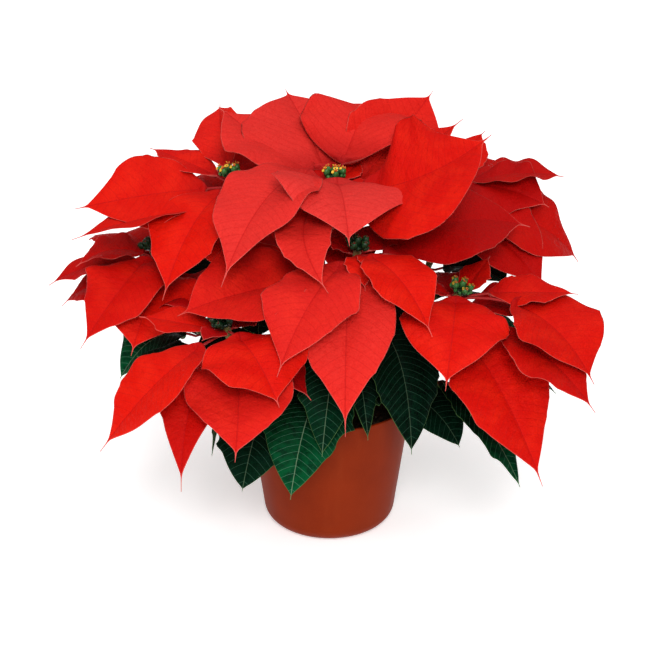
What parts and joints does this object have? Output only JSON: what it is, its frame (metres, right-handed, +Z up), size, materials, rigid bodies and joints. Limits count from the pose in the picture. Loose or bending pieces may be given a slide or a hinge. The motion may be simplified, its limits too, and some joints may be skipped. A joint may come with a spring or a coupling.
{
  "type": "potted poinsettia",
  "caption": "Bushy red poinsettia growing in a tapered brown plastic pot: flower heads ringed by pointed red bracts over dark green leaves, on branched stems rooted in soil.",
  "frame": {"origin": "centre of the pot's flat base, which stands on the surface", "axes": "+Z up along the pot's axis, +X to the viewer's right, -Y towards the viewer (the front)"},
  "size_m": [0.4549, 0.4442, 0.3395],
  "materials": {
    "pot": "satin",
    "soil": "matte",
    "stem": "satin",
    "bract": "satin",
    "cyathium": "satin",
    "leaf": "satin"
  },
  "bodies": {
    "root": {"pot": "pot", "soil": "soil", "stems": "stem", "bracts_1": "bract", "bracts_2": "bract", "bracts_3": "bract", "bracts_4": "bract", "bracts_5": "bract", "bracts_6": "bract", "bracts_7": "bract", "bracts_8": "bract", "cyathia_1": "cyathium", "cyathia_2": "cyathium", "cyathia_3": "cyathium", "cyathia_4": "cyathium", "cyathia_5": "cyathium", "cyathia_6": "cyathium", "cyathia_7": "cyathium", "cyathia_8": "cyathium", "leaf_01": "leaf", "leaf_02": "leaf", "leaf_03": "leaf", "leaf_04": "leaf", "leaf_05": "leaf", "leaf_06": "leaf", "leaf_07": "leaf", "leaf_08": "leaf", "leaf_09": "leaf", "leaf_10": "leaf", "leaf_11": "leaf", "leaf_12": "leaf", "leaf_13": "leaf", "leaf_14": "leaf", "leaf_15": "leaf", "leaf_16": "leaf", "leaf_17": "leaf", "leaf_18": "leaf", "leaf_19": "leaf", "leaf_20": "leaf", "leaf_21": "leaf", "leaf_22": "leaf", "leaf_23": "leaf", "leaf_24": "leaf", "leaf_25": "leaf", "leaf_26": "leaf", "leaf_27": "leaf", "leaf_28": "leaf", "leaf_29": "leaf", "leaf_30": "leaf"}
  },
  "joints": []
}
